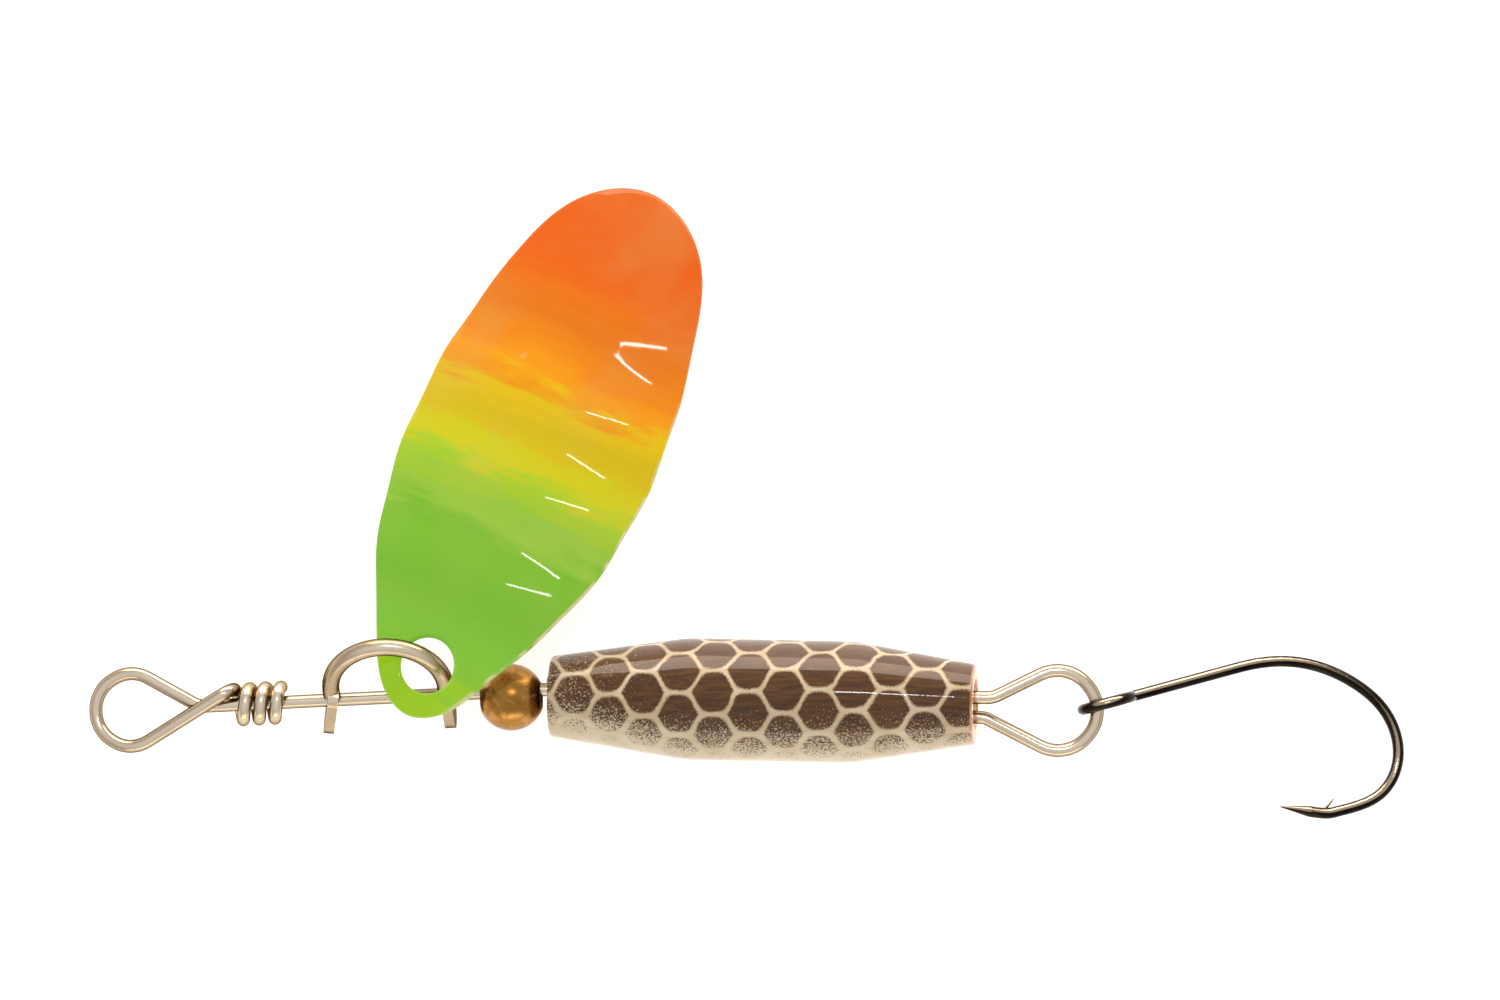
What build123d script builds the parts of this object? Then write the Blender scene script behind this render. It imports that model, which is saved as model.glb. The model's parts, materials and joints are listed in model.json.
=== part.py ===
"""Inline spinner (fishing lure), lying on a table.

X runs along the lure from the line eye to the hook, Z is up from the table, and the
origin is the middle of the bounding box on the table. All sizes are millimetres.
Layout places are first given from the middle of the line eye and moved once at the end.
"""
from build123d import *
from math import asin, cos, pi, radians, sin, sqrt, tan
import os

# ---- wire: one length of stainless wire makes the eye, the shaft and the tail loop
WIRE_R = 0.395              # 0.79 mm wire
SHAFT_START_X = 4.4         # where the straight shaft begins, just behind the eye
SHAFT_YAW_SLOPE = 0.0495    # how far the front part of the shaft runs aside, per mm
SHAFT_RISE = 0.10           # how far the shaft climbs from the table, per mm
SHAFT_SIDE_AT_WRAPS = -0.57
SHAFT_HEIGHT_AT_WRAPS = 1.80
WRAPS_X = 6.0

EYE_R = 2.15                # centre line of the line eye
EYE_CENTRE = (-0.20, -0.90)
EYE_OPENS = 61.0            # angle where the eye leaves its circle, either side, degrees
EYE_HEIGHTS = (0.75, 0.40, 0.44, 1.20)  # from the shaft down to the table and up again
EYE_CORNER_EASE = 0.95      # the eye's arcs are this much tighter than its circle
EYE_BEND = 0.55             # from the start of the shaft to the bend in front of it
EYE_BEND_R = 1.6
EYE_OVER_RUN = 0.85         # straight run over the shaft into the wraps
EYE_OVER_R = 0.8
WRAP_R = 0.92               # centre line of the wraps round the shaft
WRAP_PITCH = 0.95
WRAP_TURNS = 3.0
WRAP_START_X = 5.95

TAIL_R = 2.35               # centre line of the tail loop
TAIL_SPREAD = 27.0          # angle of each leg of the loop to the shaft, degrees
TAIL_CENTRE = (54.94, -0.90)
TAIL_OUT = 0.55             # the shaft ends this far behind the body
TAIL_LEG_BEND = 0.50        # from there to the bend of the upper leg
TAIL_LEG_R = 1.5
TAIL_TAG_OUT = 0.15         # the tag ends this far behind the body
TAIL_TAG_BEND = 0.40        # from there to the bend of the lower leg
TAIL_TAG_R = 0.9
TAIL_CORNERS = 3
LOOP_CORNER_EASE = 0.97     # the loop's arcs are this much tighter than its circle
SHAFT_BEND_R = 8.0          # the shaft bends this gently just ahead of the body
SHAFT_BEND_AHEAD = 0.2
SHAFT_SAG = 0.1             # how far the shaft drops towards the axis inside the body

# ---- clevis: round wire bent to a bow, with flattened and drilled ends
CLEVIS_WIRE_R = 0.52
CLEVIS_HALF_SPAN = 3.43     # from the middle of the bow to each leg
CLEVIS_BOW_R = 3.43
CLEVIS_REACH = 4.24         # from the shaft to the middle of the bow's wire
CLEVIS_LEAN = 45.0          # the bow leans over from the upright to the table, degrees
CLEVIS_MIDDLE_X = 15.20
CLEVIS_FLARE = 12.0         # the front leg's flat end is splayed out, degrees
PADDLE_THICK = 0.62
PADDLE_WIDTH = 1.7
PADDLE_END = 2.5            # from the shaft to the end of the flattened part
PADDLE_START = 1.0          # from the shaft up to where the wire turns flat
PADDLE_OVERLAP = 0.55       # the round wire runs this far into the flat part
PADDLE_HOLE_R = WIRE_R + 0.07

# ---- blade: stamped, cupped and rippled sheet
BLADE_LENGTH = 34.5
BLADE_HALF_WIDTH = 7.68
BLADE_THICK = 0.42
BLADE_CUP = 2.0             # how deep the sheet is cupped
BLADE_HOLE_FROM_TIP = 3.15
BLADE_HOLE_R = 1.65
RIPPLE_HEIGHT = 0.20
RIPPLE_LENGTH = 6.05
RIPPLE_CREST = 14.9         # one crest of the ripples, from the tip
BLADE_AIM = 65.0            # long axis against the shaft, seen from above, degrees
BLADE_DIP = 6.2             # the far end dips to the table, degrees
BLADE_ROLL = 17.0           # the edge next to the bead is rolled up, degrees
BLADE_HOLE_AT = (17.45, 1.85, 5.25)
CUP_ACROSS = 0.95           # share of the cup lost at the sides and at the ends
CUP_ALONG = 0.90
RIPPLE_REACH = 10.5         # the ripples fade out this far from their middle
BLADE_SIDE = [(1.2, 2.3), (3.5, 3.7), (8.5, 6.1), (18.6, 7.68), (27.9, 6.2), (32.3, 4.25)]

# ---- bead
BEAD_R = 1.99
BEAD_HALF_LENGTH = 1.80
BEAD_BORE_R = 0.78
BEAD_MIDDLE_X = 22.45
BEAD_DROP = (-0.36, -0.10)  # how the loose bead hangs off the shaft, sideways and down

# ---- body: turned, tapered at both ends, with one straight bore
BODY_LENGTH = 25.4
BODY_R = 3.63
BODY_END_R = 2.40
BODY_FRONT_TAPER = 8.1
BODY_REAR_TAPER = 7.3
BODY_SHOULDER_R = 9.0
BODY_EDGE_R = 0.25
BODY_BORE_R = 1.25
BODY_COUNTERSINK = 0.35
BODY_FRONT_X = 24.80
BODY_FRONT_Y = -0.06
BODY_YAW_SLOPE = -0.0185
SHAFT_ABOVE_AXIS = 0.45     # the loose body hangs this far under the shaft
SHAFT_BESIDE_AXIS = 0.42

# ---- tag: the wire's free end, folded back through the body's bore
TAG_FRONT = (0.70, -0.40)   # sideways and up from the body's axis, at the front
TAG_REAR = (-0.75, -0.28)
TAG_STICKS_OUT = 0.30

# ---- hook: single hook with its ring eye turned across the bend
HOOK_WIRE_R = 0.335
HOOK_RING_R = 1.50          # centre line of the ring eye
HOOK_RING_GAP = 0.09
HOOK_YAW = 15.0             # the shank points aside from the shaft, degrees
HOOK_LENGTH = 17.75         # from the tail loop to the far side of the bend
HOOK_SHANK = 9.00           # the bend begins this far from the tail loop
HOOK_BEND = [               # centre line of the bend, from the shank to the point
    (11.80, -0.28), (12.99, -0.66), (16.06, -2.77), (17.46, -4.93), (17.52, -7.52),
    (15.60, -9.57), (12.90, -9.82), (11.20, -9.39)]
HOOK_TIP = (9.50, -8.65)
HOOK_TIP_R = 0.04
BARB_AT = (12.05, -9.55)
BARB_TIP = (12.85, -9.05)
BARB_R = 0.12
HANG_ANGLE = 7.0            # where the hook's ring hangs on the tail loop, degrees


def shaft_point(x):
    """Point on the straight front part of the shaft, by its place along the lure."""
    side = SHAFT_SIDE_AT_WRAPS + SHAFT_YAW_SLOPE * (x - WRAPS_X)
    return Vector(x, side, SHAFT_HEIGHT_AT_WRAPS + SHAFT_RISE * (x - WRAPS_X))


SHAFT_DIR = (shaft_point(1) - shaft_point(0)).normalized()

body_front = Vector(BODY_FRONT_X, BODY_FRONT_Y, shaft_point(BODY_FRONT_X).Z - SHAFT_ABOVE_AXIS)
BODY_DIR = Vector(1, BODY_YAW_SLOPE, SHAFT_RISE).normalized()
BODY_SIDE = (Vector(0, 1, 0) - BODY_DIR * BODY_DIR.Y).normalized()
BODY_UP = BODY_DIR.cross(BODY_SIDE)


def beside_body(x, side, up):
    """Point at a distance along the body's axis from its front, sideways and up from it."""
    return body_front + BODY_DIR * x + BODY_SIDE * side + BODY_UP * up


def wire_tube(path, radius):
    """Round wire swept along a path, with its first section square to the path."""
    section = Plane(origin=path @ 0, z_dir=path % 0) * Circle(radius)
    return sweep(section, path=path)


def filleted_path(points, radii):
    """Straight runs joined by tangent arcs, one radius for each corner."""
    points = [Vector(point) for point in points]
    edges = []
    here = points[0]
    for corner, following, radius in zip(points[1:-1], points[2:], radii):
        back = (here - corner).normalized()
        ahead = (following - corner).normalized()
        half_angle = radians(back.get_angle(ahead)) / 2
        trim = radius / tan(half_angle)
        middle = corner + (back + ahead).normalized() * (radius / sin(half_angle) - radius)
        edges.append(Edge.make_line(here, corner + back * trim))
        edges.append(Edge.make_three_point_arc(corner + back * trim, middle, corner + ahead * trim))
        here = corner + ahead * trim
    edges.append(Edge.make_line(here, points[-1]))
    return Wire(edges)


def tangent_corners(centre, radius, start, stop, count):
    """Corners of straight runs that all touch one circle, between two angles in degrees."""
    step = (stop - start) / count
    reach = radius / cos(radians(step / 2))
    corners = []
    for i in range(count):
        angle = radians(start + step * (i + 0.5))
        corners.append((centre[0] + reach * cos(angle), centre[1] + reach * sin(angle)))
    return corners


# ---- wire form ---------------------------------------------------------------------

def wrap_plane():
    """Plane across the shaft where the wraps begin, its X axis sideways from the shaft."""
    aside = Vector(0, 1, 0) - SHAFT_DIR * SHAFT_DIR.Y
    return Plane(origin=shaft_point(WRAP_START_X), x_dir=aside, z_dir=SHAFT_DIR)


def make_wraps():
    """The wire's front end, wound round the shaft in a close left-hand coil."""
    coil = Edge.make_helix(WRAP_PITCH, WRAP_PITCH * WRAP_TURNS, WRAP_R, lefthand=True)
    section = Plane(origin=coil @ 0, z_dir=coil % 0) * Circle(WIRE_R)
    coil_wire = sweep(section, path=coil, is_frenet=True)
    return wrap_plane().location * coil_wire


def make_line_eye():
    """Pear-shaped eye: from the shaft, round the eye and over the shaft to the wraps."""
    coil = wrap_plane().location * Edge.make_helix(
        WRAP_PITCH, WRAP_PITCH, WRAP_R, lefthand=True)
    end = coil @ 0
    corners = tangent_corners(EYE_CENTRE, EYE_R, EYE_OPENS, 360 - EYE_OPENS, len(EYE_HEIGHTS))
    points = [shaft_point(SHAFT_START_X), shaft_point(SHAFT_START_X - EYE_BEND)]
    points += [Vector(*corner, height) for corner, height in zip(corners, EYE_HEIGHTS)]
    points += [end - (coil % 0) * EYE_OVER_RUN, end]
    round_r = [EYE_R * EYE_CORNER_EASE] * len(corners)
    return wire_tube(filleted_path(points, [EYE_BEND_R, *round_r, EYE_OVER_R]), WIRE_R)


def shaft_in_body(x):
    """The rear part of the shaft, straight through the bore above the body's axis."""
    return beside_body(x, SHAFT_BESIDE_AXIS, SHAFT_ABOVE_AXIS - SHAFT_SAG * x / BODY_LENGTH)


def make_shaft():
    """From the eye through the clevis, the bead and the body to the tail loop."""
    points = [shaft_point(SHAFT_START_X), shaft_point(BODY_FRONT_X - SHAFT_BEND_AHEAD)]
    points.append(shaft_in_body(BODY_LENGTH + TAIL_OUT))
    return wire_tube(filleted_path(points, [SHAFT_BEND_R]), WIRE_R)


def tag_point(x):
    """The tag runs slantwise through the bore, under the shaft."""
    part = x / BODY_LENGTH
    side = TAG_FRONT[0] + (TAG_REAR[0] - TAG_FRONT[0]) * part
    up = TAG_FRONT[1] + (TAG_REAR[1] - TAG_FRONT[1]) * part
    return beside_body(x, side, up)


def make_tag():
    """The wire's cut end, from the tail loop back through the bore to the bead."""
    front = tag_point(-TAG_STICKS_OUT)
    rear = tag_point(BODY_LENGTH + TAIL_TAG_OUT)
    return Solid.make_cylinder(WIRE_R, (rear - front).length, Plane(front, z_dir=rear - front))


def make_tail_loop():
    """Loop that carries the hook, with its two legs running into the bore."""
    start = shaft_in_body(BODY_LENGTH + TAIL_OUT)
    end = tag_point(BODY_LENGTH + TAIL_TAG_OUT)
    opening = 90 + TAIL_SPREAD
    corners = tangent_corners(TAIL_CENTRE, TAIL_R, opening, -opening, TAIL_CORNERS)
    points = [start, shaft_in_body(BODY_LENGTH + TAIL_OUT + TAIL_LEG_BEND)]
    for i, corner in enumerate(corners):
        share = (i + 1) / (len(corners) + 1)
        points.append(Vector(*corner, start.Z + (end.Z - start.Z) * share))
    points += [tag_point(BODY_LENGTH + TAIL_TAG_OUT + TAIL_TAG_BEND), end]
    round_r = [TAIL_R * LOOP_CORNER_EASE] * len(corners)
    return wire_tube(filleted_path(points, [TAIL_LEG_R, *round_r, TAIL_TAG_R]), WIRE_R)


# ---- clevis ------------------------------------------------------------------------

def clevis_plane():
    """Plane of the bow: X along the shaft, Y outwards to the middle of the bow."""
    upright = Vector(0, cos(radians(CLEVIS_LEAN)), sin(radians(CLEVIS_LEAN)))
    outward = (upright - SHAFT_DIR * SHAFT_DIR.dot(upright)).normalized()
    return Plane(shaft_point(CLEVIS_MIDDLE_X), x_dir=SHAFT_DIR, z_dir=SHAFT_DIR.cross(outward))


def make_clevis():
    """Bow of round wire with a flattened, drilled end on each leg."""
    leg_top = CLEVIS_REACH - CLEVIS_BOW_R
    foot = PADDLE_START - PADDLE_OVERLAP
    bow = ThreePointArc((-CLEVIS_HALF_SPAN, leg_top), (0, CLEVIS_REACH), (CLEVIS_HALF_SPAN, leg_top))
    path = Wire([
        Edge.make_line((-CLEVIS_HALF_SPAN, foot), bow @ 0), bow.edge(),
        Edge.make_line(bow @ 1, (CLEVIS_HALF_SPAN, foot))])
    clevis = wire_tube(path, CLEVIS_WIRE_R)
    slot_run = PADDLE_START + PADDLE_END - PADDLE_WIDTH
    slot_middle = (PADDLE_START - PADDLE_END) / 2
    across = Plane(origin=(0, 0, 0), x_dir=(0, 1, 0), z_dir=(1, 0, 0))
    flat = extrude(across * Pos(slot_middle, 0, 0) * SlotCenterToCenter(slot_run, PADDLE_WIDTH),
                   amount=PADDLE_THICK / 2, both=True)
    clevis += Pos(-CLEVIS_HALF_SPAN, 0, 0) * Rot(0, 0, -CLEVIS_FLARE) * flat
    clevis += Pos(CLEVIS_HALF_SPAN, 0, 0) * flat
    bore = Cylinder(PADDLE_HOLE_R, 4 * CLEVIS_HALF_SPAN, rotation=(0, 90, 0))
    return clevis_plane().location * (clevis - bore)


# ---- blade -------------------------------------------------------------------------

def blade_plane():
    """Plane of the blade at its hole: X to the far end, Y to the left edge, Z outwards."""
    aim = radians(BLADE_AIM)
    along = Vector(cos(aim), sin(aim), -tan(radians(BLADE_DIP))).normalized()
    left = Vector(-sin(aim), cos(aim), 0)
    level = Plane(BLADE_HOLE_AT, x_dir=along, z_dir=along.cross(left))
    return Plane(level.location * Rot(-BLADE_ROLL, 0, 0))


def sheet_height(along, across):
    """Height of the cupped, rippled sheet over its rim, from the tip of the blade."""
    middle = BLADE_LENGTH / 2
    sides = CUP_ACROSS * (across / BLADE_HALF_WIDTH) ** 2
    ends = CUP_ALONG * ((along - middle) / middle) ** 2
    fade = 1 / (1 + ((along - RIPPLE_CREST) / RIPPLE_REACH) ** 6)
    ripple = RIPPLE_HEIGHT * fade * cos(2 * pi * (along - RIPPLE_CREST) / RIPPLE_LENGTH)
    return BLADE_CUP * (1 - sides - ends) + ripple


def blade_outline():
    """Egg-shaped outline, round the hole at the tip and widest past the middle."""
    other_side = [(along, -across) for along, across in reversed(BLADE_SIDE)]
    rim = Spline((0, 0), *BLADE_SIDE, (BLADE_LENGTH, 0), *other_side, periodic=True)
    return make_face(rim)


def make_blade():
    """Sheet of even thickness under the cupped surface, cut to the outline and drilled."""
    rows = 47
    columns = 15
    margin = 0.8
    grid = []
    for i in range(rows):
        along = -margin + (BLADE_LENGTH + 2 * margin) * i / (rows - 1)
        line = []
        for j in range(columns):
            across = (BLADE_HALF_WIDTH + margin) * (2 * j / (columns - 1) - 1)
            line.append((along, across, sheet_height(along, across)))
        grid.append(line)
    surface = Face.make_surface_from_array_of_points(grid, tol=0.01)
    sheet = Solid.extrude(surface, Vector(0, 0, BLADE_THICK))
    cutter = extrude(blade_outline(), amount=20, both=True)
    blade = cutter & sheet
    blade -= Pos(BLADE_HOLE_FROM_TIP, 0, 0) * Cylinder(BLADE_HOLE_R, 30)
    sheet_middle = sheet_height(BLADE_HOLE_FROM_TIP, 0) + BLADE_THICK / 2
    return blade_plane().location * Pos(-BLADE_HOLE_FROM_TIP, 0, -sheet_middle) * blade


# ---- bead and body -----------------------------------------------------------------

def make_bead():
    """Round brass bead with two small flats and a loose bore."""
    h = BEAD_HALF_LENGTH
    flat_r = sqrt(BEAD_R ** 2 - h ** 2)
    curve = ThreePointArc((-h, flat_r), (0, BEAD_R), (h, flat_r))
    ends = Polyline((h, flat_r), (h, BEAD_BORE_R), (-h, BEAD_BORE_R), (-h, flat_r))
    return revolve(make_face(curve.edges() + ends.edges()), axis=Axis.X)


def bead_location():
    """The bead hangs a little off the shaft, with its bore along it."""
    middle = shaft_point(BEAD_MIDDLE_X) + Vector(0, BEAD_DROP[0], BEAD_DROP[1])
    return Plane(middle, x_dir=SHAFT_DIR, z_dir=SHAFT_DIR.cross(Vector(0, 1, 0))).location


def make_body():
    """Turned body: front taper, straight middle and rear taper round a plain bore."""
    outline = Polyline(
        (0, BODY_END_R), (BODY_FRONT_TAPER, BODY_R),
        (BODY_LENGTH - BODY_REAR_TAPER, BODY_R), (BODY_LENGTH, BODY_END_R),
        (BODY_LENGTH, BODY_BORE_R + BODY_COUNTERSINK),
        (BODY_LENGTH - BODY_COUNTERSINK, BODY_BORE_R), (BODY_COUNTERSINK, BODY_BORE_R),
        (0, BODY_BORE_R + BODY_COUNTERSINK), close=True)
    profile = make_face(outline.edges())
    shoulders = profile.vertices().filter_by(lambda v: abs(v.Y - BODY_R) < 1e-6)
    profile = fillet(shoulders, BODY_SHOULDER_R)
    rims = profile.vertices().filter_by(lambda v: abs(v.Y - BODY_END_R) < 1e-6)
    profile = fillet(rims, BODY_EDGE_R)
    return revolve(profile, axis=Axis.X)


def body_location():
    return Plane(body_front, x_dir=BODY_DIR, z_dir=BODY_UP).location


# ---- hook --------------------------------------------------------------------------

def taper(start, stop, start_r, stop_r):
    """Cone from one point of the hook's plane to another."""
    run = Vector(*stop) - Vector(*start)
    cone = Cone(start_r, stop_r, run.length, align=(Align.CENTER, Align.CENTER, Align.MIN))
    return Plane(Vector(*start), z_dir=run).location * cone


def hook_plane():
    """Plane of the bend: X along the shank from the tail loop, Y away from the point."""
    yaw = radians(HOOK_YAW)
    hang_x = TAIL_CENTRE[0] + TAIL_R * cos(radians(HANG_ANGLE))
    hang_y = TAIL_CENTRE[1] + TAIL_R * sin(radians(HANG_ANGLE))
    hang_z = (shaft_in_body(BODY_LENGTH).Z + tag_point(BODY_LENGTH).Z) / 2
    dip = asin((hang_z - HOOK_WIRE_R) / HOOK_LENGTH)
    shank = Vector(cos(yaw) * cos(dip), sin(yaw) * cos(dip), -sin(dip))
    aside = Vector(-sin(yaw), cos(yaw), 0)
    return Plane((hang_x, hang_y, hang_z), x_dir=shank, z_dir=shank.cross(aside))


def make_hook():
    """Ring eye, straight shank, round bend and a tapered point with a sliver of a barb."""
    ring_x = HOOK_RING_R - HOOK_WIRE_R - WIRE_R - HOOK_RING_GAP
    ring = Pos(ring_x, 0, 0) * Rot(90, 0, 0) * Torus(HOOK_RING_R, HOOK_WIRE_R)
    bend_end = Vector(*HOOK_BEND[-1])
    point_dir = (Vector(*HOOK_TIP) - bend_end).normalized()
    shank = Edge.make_line((ring_x + HOOK_RING_R, 0), (HOOK_SHANK, 0))
    bend = Edge.make_spline([Vector(HOOK_SHANK, 0), *(Vector(*p) for p in HOOK_BEND)],
                            tangents=[Vector(1, 0), point_dir])
    wire = wire_tube(Wire([shank, bend]), HOOK_WIRE_R)
    point = taper(HOOK_BEND[-1], HOOK_TIP, HOOK_WIRE_R, HOOK_TIP_R)
    barb = taper(BARB_AT, BARB_TIP, BARB_R, HOOK_TIP_R)
    return hook_plane().location * (ring + wire + point + barb)


NODES = {
    "wire_shaft": make_shaft,
    "wire_line_eye": make_line_eye,
    "wire_eye_wraps": make_wraps,
    "wire_tail_loop": make_tail_loop,
    "wire_tag": make_tag,
    "clevis": make_clevis,
    "blade": make_blade,
    "bead": lambda: bead_location() * make_bead(),
    "body": lambda: body_location() * make_body(),
    "hook": make_hook,
}


def main():
    os.makedirs("parts", exist_ok=True)
    shapes = {name: make() for name, make in NODES.items()}
    box = Compound(list(shapes.values())).bounding_box()
    home = Pos(-box.center().X, -box.center().Y, -box.min.Z)
    for name, shape in shapes.items():
        export_step(home * shape, "parts/" + name + ".step")
    print("moved by", home.position, "size", box.size)


main()
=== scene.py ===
"""Inline spinner on a light table: finishes, the stamped blade, stage and camera."""
import bmesh
import bpy
import json
import math
import numpy as np
from bpy.props import FloatProperty, PointerProperty, StringProperty
from bpy.types import NodeSocket, Operator, Panel, PropertyGroup
from mathutils import Matrix, Vector


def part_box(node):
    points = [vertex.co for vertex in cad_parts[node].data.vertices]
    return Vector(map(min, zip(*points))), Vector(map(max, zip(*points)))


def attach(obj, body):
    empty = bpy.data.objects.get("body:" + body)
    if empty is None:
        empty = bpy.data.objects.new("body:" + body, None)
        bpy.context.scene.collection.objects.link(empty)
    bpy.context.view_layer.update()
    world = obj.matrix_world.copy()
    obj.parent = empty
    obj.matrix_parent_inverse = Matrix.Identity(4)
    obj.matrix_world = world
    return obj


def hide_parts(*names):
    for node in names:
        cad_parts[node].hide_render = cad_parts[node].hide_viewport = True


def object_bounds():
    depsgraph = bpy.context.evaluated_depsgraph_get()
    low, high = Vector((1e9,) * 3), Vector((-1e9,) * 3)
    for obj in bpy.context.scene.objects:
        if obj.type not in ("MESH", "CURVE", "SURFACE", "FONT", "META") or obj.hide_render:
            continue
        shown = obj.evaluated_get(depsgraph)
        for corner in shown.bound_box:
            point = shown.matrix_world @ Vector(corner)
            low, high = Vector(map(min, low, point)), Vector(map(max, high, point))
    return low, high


bl_info = {
    "name": "Inline spinner",
    "version": (1, 0, 0),
    "blender": (4, 5, 0),
    "location": "3D View > Sidebar > Spinner",
    "description": "Finishes, stamped blade, stage and camera of an inline spinner lure",
    "category": "Object",
}

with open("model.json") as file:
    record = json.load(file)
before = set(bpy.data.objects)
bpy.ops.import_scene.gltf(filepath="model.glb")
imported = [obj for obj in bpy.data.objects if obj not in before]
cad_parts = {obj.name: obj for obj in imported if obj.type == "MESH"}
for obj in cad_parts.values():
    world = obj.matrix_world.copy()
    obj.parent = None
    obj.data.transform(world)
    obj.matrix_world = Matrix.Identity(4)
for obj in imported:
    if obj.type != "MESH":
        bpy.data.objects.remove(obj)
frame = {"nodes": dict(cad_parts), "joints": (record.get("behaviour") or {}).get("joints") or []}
CAD_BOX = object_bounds()
MM = 0.001
JOINTS = {joint["name"]: joint for joint in frame["joints"]}
WIRE_NODES = ("wire_shaft", "wire_line_eye", "wire_eye_wraps", "wire_tail_loop", "wire_tag")


def linear(colour):
    """Linear RGBA of an sRGB hex colour such as "#c0a080"."""
    parts = [int(colour[i:i + 2], 16) / 255 for i in (1, 3, 5)]
    return tuple(p / 12.92 if p <= 0.04045 else ((p + 0.055) / 1.055) ** 2.4 for p in parts) + (1.0,)


def add(tree, kind, inputs, out=0, **settings):
    """Adds one shader node with its settings and links, and returns one of its outputs."""
    node = tree.nodes.new("ShaderNode" + kind)
    for name, value in settings.items():
        setattr(node, name, value)
    for name, value in inputs.items():
        if isinstance(value, NodeSocket):
            tree.links.new(value, node.inputs[name])
        else:
            node.inputs[name].default_value = value
    return node.outputs[out]


def start_material(name, **constants):
    """New material with its shader's constant sockets set, as (material, tree, shader)."""
    material = bpy.data.materials.new(name)
    material.use_nodes = True
    shader = material.node_tree.nodes["Principled BSDF"]
    for socket, value in constants.items():
        shader.inputs[socket.replace("_", " ")].default_value = value
    return material, material.node_tree, shader


def set_ramp(socket, stops):
    """Fills a colour ramp from (place, hex colour) pairs, smoothed between them."""
    ramp = socket.node.color_ramp
    ramp.interpolation = "EASE"
    while len(ramp.elements) < len(stops):
        ramp.elements.new(0.5)
    for element, (place, colour) in zip(ramp.elements, stops):
        element.position = place
        element.color = linear(colour)


def finish_node(node, material):
    """Gives a CAD node its material."""
    mesh = frame["nodes"][node].data
    mesh.materials.clear()
    mesh.materials.append(material)


def place_along(tree, origin, axis):
    """Distance in millimetres from an origin along an axis, both in the lure's frame."""
    here = add(tree, "TexCoord", {}, out="Object")
    offset = add(tree, "VectorMath", {0: here, 1: origin}, operation="SUBTRACT")
    metres = add(tree, "VectorMath", {0: offset, 1: axis}, out="Value", operation="DOT_PRODUCT")
    return add(tree, "Math", {0: metres, 1: 1 / MM}, operation="MULTIPLY")


# ---- sizes and colours a user may change ---------------------------------------------

class SPINNER_PG_wire(PropertyGroup):
    tint: StringProperty(name="Tint", description="Colour of the bright wire", default="#c6b398")
    draw_lines: FloatProperty(
        name="Draw lines", description="Spacing of the fine marks left by drawing the wire",
        default=0.06 * MM, unit="LENGTH")


class SPINNER_PG_blade(PropertyGroup):
    length: FloatProperty(
        name="Length", description="Tip to far end of the stamped sheet", default=34.5 * MM,
        unit="LENGTH")
    half_width: FloatProperty(
        name="Half width", description="Axis to edge where the blade is widest",
        default=7.68 * MM, unit="LENGTH")
    thickness: FloatProperty(
        name="Thickness", description="Thickness of the sheet", default=0.42 * MM, unit="LENGTH")
    cup: FloatProperty(
        name="Cup", description="How deep the sheet is cupped", default=2.0 * MM, unit="LENGTH")
    ripple: FloatProperty(
        name="Ripple", description="Height of the stamped ripples", default=0.20 * MM,
        unit="LENGTH")
    ripple_length: FloatProperty(
        name="Ripple spacing", description="Crest to crest of the ripples",
        default=6.05 * MM, unit="LENGTH")
    hole: FloatProperty(
        name="Hole radius", description="Radius of the hole that hangs on the clevis",
        default=1.65 * MM, unit="LENGTH")


class SPINNER_PG_body(PropertyGroup):
    column: FloatProperty(
        name="Scale column", description="Spacing of the scale columns along the body",
        default=2.10 * MM, unit="LENGTH")
    row: FloatProperty(
        name="Scale row", description="Spacing of the scales round the body",
        default=2.68 * MM, unit="LENGTH")
    rounding: FloatProperty(
        name="Rounding", description="How softly the corners of the scales are rounded",
        default=0.62 * MM, unit="LENGTH")
    net: FloatProperty(
        name="Net line", description="Width of the pale lines that the net masked off",
        default=0.19 * MM, unit="LENGTH")
    grain: FloatProperty(
        name="Spray grain", description="Size of the airbrush droplets", default=0.11 * MM,
        unit="LENGTH")


class SPINNER_PG_stage(PropertyGroup):
    view_width: FloatProperty(
        name="View width", description="Width of the table that the camera sees",
        default=89.29 * MM, unit="LENGTH")
    distance: FloatProperty(
        name="Distance", description="Camera height over the lure", default=1.8,
        unit="LENGTH")


# ---- wire, clevis, bead and hook -----------------------------------------------------

TARNISH_SIZE = 2.5 * MM
BRASS_PATCH_SIZE = 1.3 * MM
BRASS_PIT_SIZE = 0.16 * MM
NICKEL_CLOUD_SIZE = 1.8 * MM
NICKEL_SCUFF_SIZE = 0.12 * MM
PAINTED_HIGHLIGHT_SIDE = (-0.08, 0.36, 0.93)    # way the side with the painted highlight faces as the hook lies


def facing_up(tree):
    """How squarely the surface lies to the piece's own top or underside, 0 to 1."""
    normal = add(tree, "TexCoord", {}, out="Normal")
    rise = add(tree, "SeparateXYZ", {"Vector": normal}, out="Z")
    return add(tree, "Math", {0: rise}, operation="ABSOLUTE")


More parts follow.
